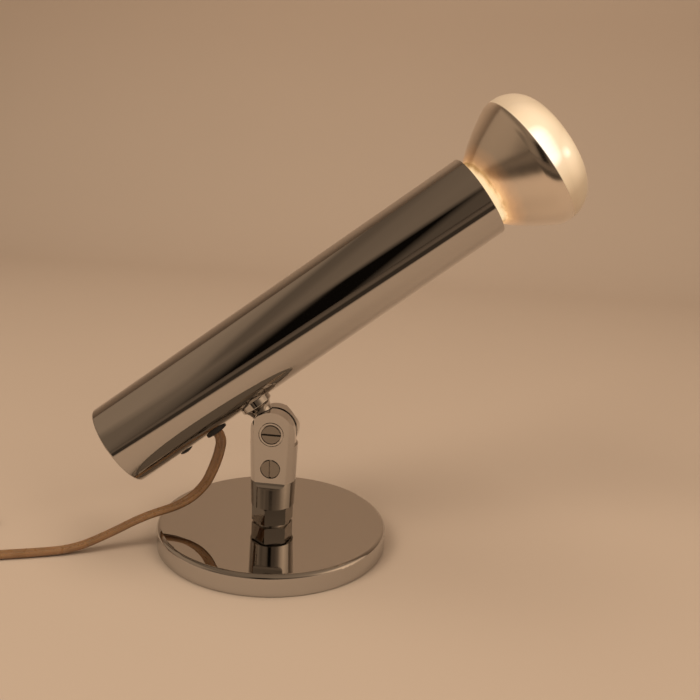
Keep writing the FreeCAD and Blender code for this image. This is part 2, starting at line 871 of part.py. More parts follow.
def socket_contact():
    """The stepped centre contact that the bulb's tip presses on."""
    floor = socket_cavity()[1]
    wide = contact_diameter / 2
    tip = bulb_tip()
    return placed(turned_x([
        (floor, 0), (floor, wide), (floor + shell_wall, wide),
        (tip - shell_wall, wide / 2), (tip, wide / 2), (tip, 0),
    ], pivot_to_tube_axis), TUBE)


# The reflector bulb, turned about the tube's axis

def bulb_tip():
    return tube_front + bulb_stand_out - bulb_length


def bulb_tip_contact():
    tip = bulb_tip()
    radius = tip_diameter / 2
    return placed(turned_x([
        (tip, 0), (tip, radius / 2), (tip + tip_height / 2, radius),
        (tip + tip_height, radius), (tip + tip_height, 0),
    ], pivot_to_tube_axis), TUBE)


def bulb_insulator():
    low = bulb_tip() + tip_height
    rise = (insulator_diameter - tip_diameter) / 2 * 0.5
    return placed(turned_x([
        (low, 0), (low, tip_diameter / 2), (low + rise, insulator_diameter / 2),
        (low + rise + cap_wall, insulator_diameter / 2), (low + rise + cap_wall, 0),
    ], pivot_to_tube_axis), TUBE)


def cap_ends():
    low = bulb_tip() + tip_height + (insulator_diameter - tip_diameter) / 2 * 0.5 + cap_wall
    return low, low + cap_length


def bulb_cap():
    """The screw cap: a thin metal cup with rounded ribs for its thread."""
    low, high = cap_ends()
    crest = cap_diameter / 2
    root = crest - 2 * cap_wall
    rib_count = 5
    pitch = (cap_length - cap_diameter / 4) / rib_count
    spots = [Vector(low, 0, 0), Vector(low, 0, root)]
    edges = [line(spots[0], spots[1])]
    here = spots[1]
    for k in range(rib_count):
        top = Vector(low + pitch * (k + 0.5), 0, crest)
        foot = Vector(low + pitch * (k + 1), 0, root)
        edges.append(arc(here, top, foot))
        here = foot
    inner = root - cap_wall
    edges.append(line(here, Vector(high, 0, root)))
    edges.append(line(Vector(high, 0, root), Vector(high, 0, inner)))
    edges.append(line(Vector(high, 0, inner), Vector(low + cap_wall, 0, inner)))
    edges.append(line(Vector(low + cap_wall, 0, inner), Vector(low + cap_wall, 0, 0)))
    edges.append(line(Vector(low + cap_wall, 0, 0), spots[0]))
    cap = turned(edges, X)
    cap.translate(Z * pivot_to_tube_axis)
    return placed(cap, TUBE)


def reflector_point(depth, inset):
    """A point of the parabolic reflector, moved in by the wall, at a depth beyond the mouth."""
    radius = math.sqrt(bulb_radius_at_mouth ** 2 + 4 * reflector_focus * depth)
    slope = 2 * reflector_focus / radius
    length = math.hypot(1, slope)
    return Vector(tube_front + depth + inset * slope / length, 0, radius - inset / length)


def bulb_outline(inset):
    """The edges of the bulb's half outline from its neck in the cap to the middle of its face."""
    high = cap_ends()[1]
    seat = cap_diameter / 2 - 3 * cap_wall - thread_gap - inset
    neck = neck_diameter / 2 - inset
    start = high - cap_diameter / 4
    shoulder = high + neck_diameter / 4
    first = Vector(start, 0, seat)
    swell_start = Vector(high + thread_gap, 0, seat)
    swell_end = Vector(shoulder, 0, neck)
    parabola = [reflector_point(reflector_depth * k / 4, inset) for k in range(5)]
    slope = 2 * reflector_focus / bulb_radius_at_mouth
    tangents = [Vector(1, 0, 0), Vector(1, 0, slope)]
    neck_end = Vector(tube_front - neck_diameter / 3, 0, neck)
    throat = Part.BSplineCurve()
    throat.interpolate(Points=[neck_end, parabola[0]], InitialTangent=tangents[0],
                       FinalTangent=tangents[1])
    rim_radius = math.sqrt(bulb_radius_at_mouth ** 2 + 4 * reflector_focus * reflector_depth)
    rim_slope = 2 * reflector_focus / rim_radius
    mirror = Part.BSplineCurve()
    mirror.interpolate(Points=parabola, InitialTangent=tangents[1],
                       FinalTangent=Vector(1, 0, rim_slope))
    widest = Vector(tube_front + widest_place, 0, bulb_diameter / 2 - inset)
    rim = Part.BSplineCurve()
    rim.interpolate(Points=[parabola[-1], widest], InitialTangent=Vector(1, 0, rim_slope),
                    FinalTangent=Vector(1, 0, 0))
    corner_centre = Vector(widest.x, 0, bulb_diameter / 2 - corner_radius)
    round_off = corner_radius - inset
    crown = Vector(tube_front + bulb_stand_out - inset, 0, 0)
    lean = math.degrees(math.atan2(bulb_stand_out - widest_place - corner_radius, corner_centre.z))
    corner = corner_arc(corner_centre, round_off, 90, 2 * lean)
    corner_end = corner_centre + Vector(round_off * math.cos(math.radians(2 * lean)), 0,
                                        round_off * math.sin(math.radians(2 * lean)))
    face = Part.Arc(corner_end, midway(corner_end, crown, lean), crown).toShape()
    edges = [
        line(first, swell_start),
        Part.BSplineCurve([swell_start, Vector(swell_start.x + neck_diameter / 12, 0, seat),
                           Vector(shoulder - neck_diameter / 12, 0, neck), swell_end]).toShape(),
        line(swell_end, neck_end),
        throat.toShape(),
        mirror.toShape(),
        rim.toShape(),
        corner,
        face,
    ]
    return edges, first, crown


def midway(edge_point, crown, lean):
    """The middle of the bulb face's shallow arc, square to the axis at its crown."""
    half_turn = math.radians(lean)
    chord = edge_point.z - crown.z
    radius = chord / math.sin(2 * half_turn)
    centre = Vector(crown.x - radius, 0, 0)
    return centre + Vector(radius * math.cos(half_turn), 0, radius * math.sin(half_turn))


def bulb_body(inset):
    edges, first, crown = bulb_outline(inset)
    edges.append(line(crown, Vector(first.x, 0, 0)))
    edges.append(line(Vector(first.x, 0, 0), first))
    solid = turned(edges, X)
    solid.translate(Z * pivot_to_tube_axis)
    return solid


def bulb_envelope():
    return placed(bulb_body(0).cut(bulb_body(glass_wall)), TUBE)


def bulb_mount():
    """The glass mount that carries the filament's wires."""
    high = cap_ends()[1]
    tall = tube_front + filament_place - high
    start = high - cap_diameter / 4
    foot = cap_diameter / 2 - 3 * cap_wall - 2 * thread_gap - glass_wall
    return placed(turned_x([
        (start, 0), (start, foot), (start + glass_wall, foot),
        (high + tall * 0.2, mount_diameter / 2), (high + tall * 0.6, mount_diameter / 4),
        (high + tall * 0.65, 0),
    ], pivot_to_tube_axis), TUBE)


def filament():
    """The filament's two supports and its half ring, as one bent wire."""
    high = cap_ends()[1]
    tall = tube_front + filament_place - high
    foot = high + tall * 0.65
    place = tube_front + filament_place
    axis = pivot_to_tube_axis
    wire = filament_wire / 2
    route = [
        Vector(foot - wire, -filament_wire, axis + wire),
        Vector(foot + tall * 0.1, -filament_radius * 0.5, axis),
        Vector(place, -filament_radius, axis),
        Vector(place + filament_radius * 0.7, 0, axis),
        Vector(place, filament_radius, axis),
        Vector(foot + tall * 0.1, filament_radius * 0.5, axis),
        Vector(foot - wire, filament_wire, axis + wire),
    ]
    return placed(swept(tangent_arcs(route)[0], filament_wire), TUBE)


# The cord: its free stretch, its put-away coil, the tie and the plug

def biarc(p0, t0, p1, t1):
    """Two arcs that leave a point along one direction and reach another along a second one."""
    v = p1 - p0
    t = t0 + t1
    a = 2 * (1 - t0.dot(t1))
    b = 2 * v.dot(t)
    c = -v.dot(v)
    reach = -c / b if abs(a) < 1e-9 else (-b + math.sqrt(b * b - 4 * a * c)) / (2 * a)
    joint = (p0 + t0 * reach + p1 - t1 * reach) * 0.5
    return [half_arc(p0, t0, joint), half_arc(joint, (joint - p0 - t0 * reach).normalize(), p1)]


def half_arc(start, along, end):
    """The arc that leaves a point along a direction and ends at another point."""
    chord = end - start
    lean = along.getAngle(chord)
    side = (along - chord * (along.dot(chord) / chord.dot(chord))).normalize()
    rise = chord.Length / 2 * math.tan(lean / 2)
    return arc(start, start + chord * 0.5 + side * rise, end)


def coil_spot(turns):
    """The place and the direction of the coil's centreline after some turns."""
    climb_from = coil_layer_turns
    climb_to = coil_layer_turns + 0.5
    rate = coil_pitch / (2 * math.pi)
    tight = coil_outer_radius - coil_pitch * coil_layer_turns
    level = table_lift + coil_lift + cord_tube_diameter / 2
    if turns <= climb_from:
        radius = coil_outer_radius - coil_pitch * turns
        swell = -rate
        height = level
        rise = 0.0
    elif turns >= climb_to:
        radius = tight + coil_pitch * (turns - climb_to)
        swell = rate
        height = level + coil_layer_pitch
        rise = 0.0
    else:
        way = 2 * math.pi * (turns - climb_from)
        radius = tight - rate * (way - way * way / math.pi)
        swell = -rate * (1 - 2 * way / math.pi)
        height = level + coil_layer_pitch * (way / math.pi - math.sin(2 * way) / (2 * math.pi))
        rise = coil_layer_pitch / math.pi * (1 - math.cos(2 * way))
    angle = math.radians(coil_start_angle) - 2 * math.pi * turns
    out = Vector(math.cos(angle), math.sin(angle), 0)
    on = Vector(math.sin(angle), -math.cos(angle), 0)
    spot = coil_centre + out * radius + Z * height
    along = (out * swell + on * radius + Z * rise).normalize()
    return spot, along


def coil_turns():
    return 2 * coil_layer_turns + 0.5


def cord_coil():
    """The put-away length: a tied coil of two layers, spiralling in and out again."""
    steps = round(coil_turns() * coil_steps_per_turn)
    spots = [coil_spot(coil_turns() * k / steps) for k in range(steps + 1)]
    first, first_way = spots[0]
    last, last_way = spots[-1]
    edges = [line(first - first_way * cord_tube_diameter, first)]
    for (p0, t0), (p1, t1) in zip(spots, spots[1:]):
        edges += biarc(p0, t0, p1, t1)
    edges.append(line(last, last + last_way * cord_tube_diameter))
    return swept(edges, cord_tube_diameter), edges


def self_gap(edges):
    """The least gap between the turns of a wound tube, measured on points of its centreline."""
    wire = Part.Wire(edges)
    count = int(wire.Length / 4)
    points = wire.discretize(Number=count)
    step = wire.Length / (count - 1)
    apart = int(6 * cord_tube_diameter / step)
    least = min(
        (p.distanceToPoint(q) for k, p in enumerate(points) for q in points[k + apart:]),
        default=0.0,
    )
    return least - cord_tube_diameter


def cord_exit():
    return TUBE.multVec(Vector(bushing_place, 0, underside - bushing_stand))


def cord_route():
    """The free stretch's points, chosen by hand from the bushing to the coil."""
    start, way = coil_spot(0)
    coil_end = start - way * cord_tube_diameter
    floor = table_lift + cord_tube_diameter / 2
    outward = TUBE.Rotation.multVec(Vector(0, 0, -1))
    return [
        cord_exit(),
        cord_exit() + outward * exit_straight,
        Vector(-36.4, -6.6, 67.0),
        Vector(-40.0, -7.9, 54.5),
        Vector(-46.6, -10.9, 39.5),
        Vector(-60.5, -17.5, 27.8),
        Vector(-83.0, -28.5, 22.4),
        Vector(-105.5, -39.0, 11.0),
        Vector(-126.0, -49.0, floor + 0.2),
        Vector(-150.0, -59.0, floor),
        Vector(-178.0, -69.0, floor),
        Vector(-203.0, -80.5, floor),
        coil_end - way * lead_straight,
        coil_end,
    ]


def cord_tail_route():
    """The short stretch from the coil to the plug, and the plug's direction."""
    end, way = coil_spot(coil_turns())
    way = Vector(way.x, way.y, 0).normalize()
    start = end + coil_spot(coil_turns())[1] * cord_tube_diameter
    lean = Rotation(Z, tail_turn).multVec(way)
    bend = start + way * tail_straight
    return [start, bend, bend + lean * tail_reach], lean


def cord_tie():
    """A flat band round the coil's turns."""
    tight = coil_outer_radius - coil_pitch * coil_layer_turns
    tube = cord_tube_diameter / 2
    dip = coil_pitch / 8
    low = Vector(tight - dip - tube - tie_gap, -tie_width / 2, table_lift + coil_lift - tie_gap / 2)
    high = Vector(coil_outer_radius + tube + tie_gap, tie_width / 2,
                  table_lift + coil_lift + coil_layer_pitch + cord_tube_diameter + tie_gap)
    skin = Vector(tie_thickness, 0, tie_thickness)
    band = block(low - skin, high + skin).cut(block(low, high))
    band.rotate(ORIGIN, Z, tie_angle)
    band.translate(coil_centre)
    return band


def plug_frame():
    route, way = cord_tail_route()
    return Placement(route[-1], Rotation(way, Z.cross(way), Z, "XYZ"))


def plug_profile(relief, widest, nose):
    """Half of the plug's outline, from (place, half width) pairs, closed along its axis."""
    neck = plug_relief_length
    end = neck + plug_body_length
    waist = Vector(neck, relief / 2, 0)
    shoulder = Vector(neck + nose, widest / 2, 0)
    swell = (waist + shoulder) * 0.5 + Vector(-1, 1, 0) * plug_shoulder_swell
    face = Vector(end, widest / 2 - plug_draw_in, 0)
    return [
        line(ORIGIN, Vector(0, relief / 2 - plug_draw_in, 0)),
        line(Vector(0, relief / 2 - plug_draw_in, 0), waist),
        arc(waist, swell, shoulder),
        line(shoulder, face),
        line(face, Vector(end, 0, 0)),
        line(Vector(end, 0, 0), ORIGIN),
    ]


def plug_slab(relief, widest, nose):
    """The outline on both sides of the axis, as a slab as thick as the plug is wide."""
    half = Part.Face(Part.Wire(plug_profile(relief, widest, nose))).extrude(Z * 2 * plug_width)
    half.translate(Z * -plug_width)
    other = half.mirror(ORIGIN, Y)
    return half.fuse(other).removeSplitter()


def plug_body():
    """The plug's moulding: its plan and its side view crossed, with rounded long edges."""
    route = cord_tail_route()[0]
    height = 2 * (route[-1].z - table_lift - plug_clearance)
    plan = plug_slab(plug_relief_diameter, plug_width, plug_nose_length)
    side = plug_slab(plug_relief_diameter, height, plug_nose_length)
    side.rotate(ORIGIN, X, 90)
    body = plan.common(side)
    face = plug_relief_length + plug_body_length
    corners = edges_at(body, lambda p, e: abs(p.y) > 0.1 and abs(p.z) > 0.1 and p.x < face - 0.1)
    return placed(body.makeFillet(plug_edge_round, corners), plug_frame())


def plug_blade(side):
    """One flat blade, with a rounded tip and the usual hole."""
    start = plug_relief_length + plug_body_length + blade_gap
    end = start + blade_length
    middle = side * blade_spacing / 2
    half = Vector(0, blade_thickness / 2, blade_width / 2)
    blade = block(Vector(start, middle, 0) - half, Vector(end, middle, 0) + half)
    tip = edges_at(blade, lambda p, e: abs(p.x - end) < 0.01 and abs(abs(p.z) - half.z) < 0.01)
    blade = blade.makeFillet(blade_width / 3, tip)
    hole = Vector(end - blade_width * 0.75, middle - blade_thickness, 0)
    return placed(blade.cut(rod(blade_width / 2, hole, Y, 2 * blade_thickness)), plug_frame())


def main():
    os.makedirs("parts", exist_ok=True)
    solids = {
        "felt_pad": felt_pad(),
        "base_weight": base_weight(),
        "base_shell": base_shell(),
        "stud_washer": stud_washer(),
        "stud_nut": stud_nut(),
        "spindle": spindle(),
        "collar_nut": collar_nut(),
        "thrust_washer": thrust_washer(),
        "knuckle_body": knuckle_body(),
        "pivot_ring": pivot_ring(),
        "pivot_screw": pivot_screw(),
        "spring_washer": spring_washer(),
        "pivot_nut": pivot_nut(),
        "retaining_screw": retaining_screw(),
        "knuckle_lug": knuckle_lug(),
        "saddle_washer": saddle_washer(),
        "inner_washer": inner_washer(),
        "stem_nut": stem_nut(),
        "lamp_tube": lamp_tube(),
        "end_cap": end_cap(),
        "switch_body": switch_body(),
        "switch_button": switch_button(),
        "cord_bushing": cord_bushing(),
        "cord_inlet": cord_inlet(),
        "socket_plate": socket_plate(),
        "socket_body": socket_body(),
        "socket_nut": socket_nut(),
        "socket_shell": socket_shell(),
        "socket_contact": socket_contact(),
        "bulb_tip_contact": bulb_tip_contact(),
        "bulb_insulator": bulb_insulator(),
        "bulb_cap": bulb_cap(),
        "bulb_envelope": bulb_envelope(),
        "bulb_mount": bulb_mount(),
        "filament": filament(),
        "cord_tie": cord_tie(),
        "plug_body": plug_body(),
        "plug_blade_left": plug_blade(-1),
        "plug_blade_right": plug_blade(1),
    }
    solids.update(inner_wires())

    section = math.pi * cord_tube_diameter ** 2 / 4
    lead_edges, radii = tangent_arcs(cord_route())
    tail_edges, tail_radii = tangent_arcs(cord_tail_route()[0])
    solids["cord_lead"] = swept(lead_edges, cord_tube_diameter)
    solids["cord_tail"] = swept(tail_edges, cord_tube_diameter)
    solids["cord_coil"], coil_edges = cord_coil()
    lengths = {
        "cord_lead": Part.Wire(lead_edges).Length,
        "cord_tail": Part.Wire(tail_edges).Length,
        "cord_coil": Part.Wire(coil_edges).Length,
    }
    print("cord arc radii", [round(r, 1) for r in radii + tail_radii])
    for name, length in lengths.items():
        print(name, "length", round(length, 1), "volume", round(solids[name].Volume),
              "section x length", round(section * length))
    print("cord length", round(sum(lengths.values()), 1))
    print("coil least gap to itself", round(self_gap(coil_edges), 2))
    print("coil outside width", round(2 * coil_outer_radius + cord_tube_diameter, 1))

    for name, shape in solids.items():
        shape.exportStep("parts/" + name + ".step")
        whole = shape.isValid() and len(shape.Solids) == 1
        print(name, "ok" if whole else "NOT ONE VALID SOLID", round(shape.Volume))


main()
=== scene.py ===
import json
import math

import bpy
from mathutils import Matrix, Quaternion, Vector


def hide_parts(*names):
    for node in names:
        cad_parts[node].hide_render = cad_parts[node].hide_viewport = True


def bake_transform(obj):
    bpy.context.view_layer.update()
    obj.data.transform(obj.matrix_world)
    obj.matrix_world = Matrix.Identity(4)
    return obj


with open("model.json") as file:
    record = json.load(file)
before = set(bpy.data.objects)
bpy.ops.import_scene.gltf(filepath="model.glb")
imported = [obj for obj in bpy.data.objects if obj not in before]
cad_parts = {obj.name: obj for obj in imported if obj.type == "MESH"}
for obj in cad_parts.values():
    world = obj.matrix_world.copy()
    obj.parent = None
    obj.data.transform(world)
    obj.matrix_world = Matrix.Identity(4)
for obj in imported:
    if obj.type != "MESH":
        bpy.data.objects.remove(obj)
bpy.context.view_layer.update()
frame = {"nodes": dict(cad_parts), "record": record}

# The tube's frame, as the solids have it: the pivot, the stem's way up, the tube's way out

TILT = math.radians(37.42)
TURN = math.radians(12.12)
PIVOT = Vector((0.0, 0.0, 0.0829))
STEM = Vector((-math.sin(TILT), 0.0, math.cos(TILT)))
FLAT = Vector((math.cos(TILT), 0.0, math.sin(TILT)))
ALONG = FLAT * math.cos(TURN) + Vector((0.0, 1.0, 0.0)) * math.sin(TURN)
STEM_LENGTH = 0.052
TUBE_MIDDLE = PIVOT + STEM * STEM_LENGTH
MOUTH = 0.2043
BUSHING_ALONG = -0.033
BUSHING_OVER = 0.021
CORD_EXIT = PIVOT + ALONG * BUSHING_ALONG + STEM * BUSHING_OVER


def round_tube(along, turn, radius):
    """A point beside the tube's axis: its place from the mouth, its turn from the top, its radius."""
    turn = math.radians(turn)
    side = STEM * math.cos(turn) + ALONG.cross(STEM) * math.sin(turn)
    return TUBE_MIDDLE + ALONG * (MOUTH + along) + side * radius


# The bulb: its silvering's edge beyond the mouth, how far that edge leans back at the top, and the
# places where its light shows through

SILVER_EDGE = 0.0395
SILVER_LEAN = 0.04
EDGE_SHARPNESS = 1400.0
HOT_SPOTS = [round_tube(0.0400, 74.0 + 4.5 * k, 0.0475) for k in range(5)]
SMALL_SPOT = round_tube(0.0525, 97.0, 0.045)
GLOW_SPOT = round_tube(0.0, 97.0, 0.0215)

# Colours, as linear light

STUDIO = (0.62, 0.54, 0.47)
STUDIO_LEVEL = 0.5
BACKDROP = (0.46, 0.335, 0.235)
ROOM = (0.50, 0.345, 0.225)
CHROME = (0.52, 0.50, 0.475)
CORD_AMBER = (0.25, 0.125, 0.052)

# Each lamp's name, place, target, size, power and colour

LAMPS = [
    ("key", (-0.9, -1.1, 1.6), (0.0, 0.0, 0.1), (1.2, 1.2), 26.0, (1.0, 0.95, 0.88)),
    ("fill", (1.3, -0.9, 1.2), (0.1, 0.0, 0.1), (0.9, 1.4), 12.0, (1.0, 0.93, 0.85)),
    ("top", (0.2, 0.3, 1.9), (0.0, 0.1, 0.0), (1.6, 1.0), 16.0, (1.0, 0.94, 0.87)),
]

# What gloss shows of the room, as shares of its plain level: round from the backdrop over the left,
# the dark behind the camera and the right, then overhead from left to right. The last is the paper's
# own share in reflections, a painted darkening by its distance in metres in front of the lamp.

ROOM_LEVEL = [
    (0.00, 1.00), (0.14, 0.66), (0.28, 0.70), (0.352, 0.66), (0.378, 0.42), (0.403, 0.30),
    (0.43, 0.42), (0.47, 0.42), (0.494, 0.26), (0.51, 0.01), (0.543, 0.01), (0.558, 0.24),
    (0.60, 0.26), (0.65, 0.55), (0.69, 1.5), (0.74, 2.3), (0.80, 1.6), (0.88, 0.9), (1.00, 1.00),
]
ROOM_ABOVE = [
    (0.00, 0.66), (0.167, 0.70), (0.235, 0.72), (0.268, 0.62), (0.288, 0.30), (0.308, 0.32),
    (0.333, 0.43), (0.40, 0.48), (0.50, 0.46), (0.667, 0.60), (0.833, 0.90), (1.00, 1.20),
]
PAPER_PAINTED_DARK = [(0.30, 1.0), (0.335, 0.85), (0.39, 0.08), (0.60, 0.07), (0.80, 0.26)]


# Camera, lights and backdrop

def add_camera():
    """The photograph's viewpoint: right, up and forward, fitted to the lamp's outline."""
    right = Vector((0.99129304, 0.12290041, 0.04726091))
    up = Vector((-0.07719428, 0.25165015, 0.96473481))
    forward = Vector((-0.10667308, 0.95998317, -0.25894625))
    place = Vector((0.1132857, -0.5745018, 0.2981367))
    camera = bpy.data.cameras.new("camera")
    camera.sensor_width = 36.0
    camera.lens = 46.32
    camera.clip_start = 0.01
    obj = bpy.data.objects.new("camera", camera)
    turn = Matrix((right, up, -forward)).transposed().to_4x4()
    obj.matrix_world = Matrix.Translation(place) @ turn
    bpy.context.scene.collection.objects.link(obj)
    bpy.context.scene.camera = obj


def add_light(name, place, target, size, power, colour):
    """A soft lamp that lights the object and stays out of its reflections."""
    lamp = bpy.data.lights.new(name, "AREA")
    lamp.shape = "RECTANGLE"
    lamp.size, lamp.size_y = size
    lamp.energy = power
    lamp.color = colour
    obj = bpy.data.objects.new(name, lamp)
    obj.location = place
    way = Vector(target) - Vector(place)
    obj.rotation_euler = way.to_track_quat("-Z", "Y").to_euler()
    obj.visible_glossy = False
    bpy.context.scene.collection.objects.link(obj)


def add_mesh(name, points, faces):
    """A smooth mesh object in the scene."""
    mesh = bpy.data.meshes.new(name)
    mesh.from_pydata([tuple(p) for p in points], [], faces)
    mesh.update()
    mesh.polygons.foreach_set("use_smooth", [True] * len(mesh.polygons))
    obj = bpy.data.objects.new(name, mesh)
    bpy.context.scene.collection.objects.link(obj)
    return obj


def add_backdrop():
    """A paper sweep: the floor, a long curve behind the lamp and the wall above it."""
    front, back, rise, top, side = -2.5, 1.0, 0.5, 3.0, 3.5
    profile = [(front, 0.0), (0.0, 0.0), (back, 0.0)]
    for k in range(1, 17):
        angle = math.pi / 2 * k / 16
        profile.append((back + rise * math.sin(angle), rise * (1 - math.cos(angle))))
    profile.append((back + rise, top))
    points = []
    for y, z in profile:
        points += [(-side, y, z), (side, y, z)]
    faces = [(2 * k, 2 * k + 1, 2 * k + 3, 2 * k + 2) for k in range(len(profile) - 1)]
    sweep = add_mesh("backdrop", points, faces)
    sweep.data.materials.append(backdrop_material())


def add_world():
    """Even light from all round, which gloss sees as a dim room with a bright side."""
    world = bpy.data.worlds.new("studio")
    bpy.context.scene.world = world
    world.use_nodes = True
    tree = world.node_tree
    back = tree.nodes["Background"]
    back.inputs["Color"].default_value = (*STUDIO, 1.0)
    back.inputs["Strength"].default_value = STUDIO_LEVEL
    way = tree.nodes.new("ShaderNodeSeparateXYZ")
    tree.links.new(tree.nodes.new("ShaderNodeTexCoord").outputs["Generated"], way.inputs["Vector"])
    x, y, z = way.outputs
    round_way = maths(tree, "ARCTAN2", x, maths(tree, "MULTIPLY", y, -1.0))
    round_way = maths(tree, "ADD", maths(tree, "DIVIDE", round_way, 2 * math.pi), 0.5)
    round_way = maths(tree, "ADD", round_way, maths(tree, "MULTIPLY", z, 0.056))
    over_way = maths(tree, "ADD", maths(tree, "DIVIDE", maths(tree, "ARCTAN2", x, z), math.pi), 0.5)
    level, above = (
        ramp(tree, place, [(stop, tuple(share * c for c in ROOM)) for stop, share in table])
        for place, table in ((round_way, ROOM_LEVEL), (over_way, ROOM_ABOVE))
    )
    height = ramp(tree, z, [(0.42, 0.0), (0.56, 1.0)])
    room = tree.nodes.new("ShaderNodeBackground")
    tree.links.new(blend(tree, height, level, above), room.inputs["Color"])
    mix = tree.nodes.new("ShaderNodeMixShader")
    tree.links.new(tree.nodes.new("ShaderNodeLightPath").outputs["Is Glossy Ray"], mix.inputs["Fac"])
    tree.links.new(back.outputs["Background"], mix.inputs[1])
    tree.links.new(room.outputs["Background"], mix.inputs[2])
    tree.links.new(mix.outputs["Shader"], tree.nodes["World Output"].inputs["Surface"])


# Node helpers

def new_material(name):
    material = bpy.data.materials.new(name)
    material.use_nodes = True
    return material, material.node_tree, material.node_tree.nodes["Principled BSDF"]


def noise(tree, scale, detail=3.0, stretch=None):
    """A noise texture in the lamp's own coordinates, stretched if asked."""
    place = tree.nodes.new("ShaderNodeTexCoord").outputs["Object"]
    if stretch:
        mapping = tree.nodes.new("ShaderNodeMapping")
        mapping.inputs["Scale"].default_value = stretch
        tree.links.new(place, mapping.inputs["Vector"])
        place = mapping.outputs["Vector"]
    texture = tree.nodes.new("ShaderNodeTexNoise")
    texture.inputs["Scale"].default_value = scale
    texture.inputs["Detail"].default_value = detail
    tree.links.new(place, texture.inputs["Vector"])
    return texture.outputs["Fac"]


def ramp(tree, value, stops):
    """A colour ramp with (position, grey or colour) stops."""
    node = tree.nodes.new("ShaderNodeValToRGB")
    while len(node.color_ramp.elements) < len(stops):
        node.color_ramp.elements.new(0.5)
    for element, (position, colour) in zip(node.color_ramp.elements, stops):
        element.position = position
        element.color = (*colour, 1.0) if isinstance(colour, tuple) else (colour,) * 3 + (1.0,)
    tree.links.new(value, node.inputs["Fac"])
    return node.outputs["Color"]


def maths(tree, operation, a, b=None, clamp=False):
    node = tree.nodes.new("ShaderNodeMath")
    node.operation = operation
    node.use_clamp = clamp
    for socket, value in zip(node.inputs, (a, b)):
        if isinstance(value, (int, float)):
            socket.default_value = value
        elif value is not None:
            tree.links.new(value, socket)
    return node.outputs[0]


def blend(tree, share, first, second):
    """The second colour over the first by a share."""
    node = tree.nodes.new("ShaderNodeMixRGB")
    for socket, value in zip(node.inputs, (share, first, second)):
        if isinstance(value, tuple):
            socket.default_value = (*value, 1.0)
        else:
            tree.links.new(value, socket)
    return node.outputs["Color"]


def bump(tree, shader, height, strength, distance):
    node = tree.nodes.new("ShaderNodeBump")
    node.inputs["Strength"].default_value = strength
    node.inputs["Distance"].default_value = distance
    tree.links.new(height, node.inputs["Height"])
    tree.links.new(node.outputs["Normal"], shader.inputs["Normal"])


def along_tube(tree, way=ALONG):
    """How far a point is along the tube, or another way, from the stem, in metres."""
    place = tree.nodes.new("ShaderNodeTexCoord").outputs["Object"]
    shift = tree.nodes.new("ShaderNodeVectorMath")
    shift.operation = "SUBTRACT"
    shift.inputs[1].default_value = TUBE_MIDDLE
    dot = tree.nodes.new("ShaderNodeVectorMath")
    dot.operation = "DOT_PRODUCT"
    dot.inputs[1].default_value = way
    tree.links.new(place, shift.inputs[0])
    tree.links.new(shift.outputs["Vector"], dot.inputs[0])
    return dot.outputs["Value"]


def spot_reach(tree, place):
    """How far a point is from a place, in metres."""
    reach = tree.nodes.new("ShaderNodeVectorMath")
    reach.operation = "DISTANCE"
    reach.inputs[1].default_value = place
    tree.links.new(tree.nodes.new("ShaderNodeTexCoord").outputs["Object"], reach.inputs[0])
    return reach.outputs["Value"]


# Materials

def backdrop_material():
    """Matt paper, with a painted reflection: in reflections its colour is painted dark from a little in
    front of the lamp.
    """
    material, tree, shader = new_material("paper")
    mottled = ramp(tree, noise(tree, 1.3), [(0.3, tuple(0.97 * c for c in BACKDROP)), (0.7, BACKDROP)])
    spot = tree.nodes.new("ShaderNodeSeparateXYZ")
    tree.links.new(tree.nodes.new("ShaderNodeTexCoord").outputs["Object"], spot.inputs["Vector"])
    # Painted reflection: the colour that gloss sees, painted darker by the distance in front of the lamp.
    front = ramp(tree, maths(tree, "MULTIPLY", spot.outputs["Y"], -1.0), [
        (place, tuple(share * c for c in BACKDROP)) for place, share in PAPER_PAINTED_DARK])
    glossy = tree.nodes.new("ShaderNodeLightPath").outputs["Is Glossy Ray"]
    shown = blend(tree, glossy, mottled, front)
    tree.links.new(shown, shader.inputs["Base Color"])
    shader.inputs["Roughness"].default_value = 0.85
    shader.inputs["Specular IOR Level"].default_value = 0.2
    return material


def chrome_material(name="chrome", colour=CHROME, rough=(0.02, 0.07), specks=0.5):
    """Bright plate with faint smears, a few pits and a little waviness."""
    material, tree, shader = new_material(name)
    shader.inputs["Metallic"].default_value = 1.0
    pits = ramp(tree, noise(tree, 420.0, 2.0), [(0.17, tuple(specks * c for c in colour)), (0.21, colour)])
    tree.links.new(pits, shader.inputs["Base Color"])
    smears = ramp(tree, noise(tree, 22.0, 6.0, (1.0, 1.6, 0.7)), [(0.35, rough[0]), (0.75, rough[1])])
    tree.links.new(smears, shader.inputs["Roughness"])
    bump(tree, shader, noise(tree, 90.0, 2.0), 0.05, 0.0002)
    return material


def plain_material(name, colour, rough, metallic=0.0, grain=180.0, relief=0.1, tone=0.12):
    """A cast, moulded or stamped surface: a colour that varies a little and a fine grain."""
    material, tree, shader = new_material(name)
    dark = tuple((1 - tone) * c for c in colour)
    tree.links.new(
        ramp(tree, noise(tree, grain / 4, 4.0), [(0.3, dark), (0.7, colour)]),
        shader.inputs["Base Color"],
    )
    spread = ramp(tree, noise(tree, grain, 3.0), [(0.3, 0.85 * rough), (0.7, min(1.0, 1.15 * rough))])
    tree.links.new(spread, shader.inputs["Roughness"])
    shader.inputs["Metallic"].default_value = metallic
    bump(tree, shader, noise(tree, grain * 4, 3.0), relief, 0.0002)
    return material


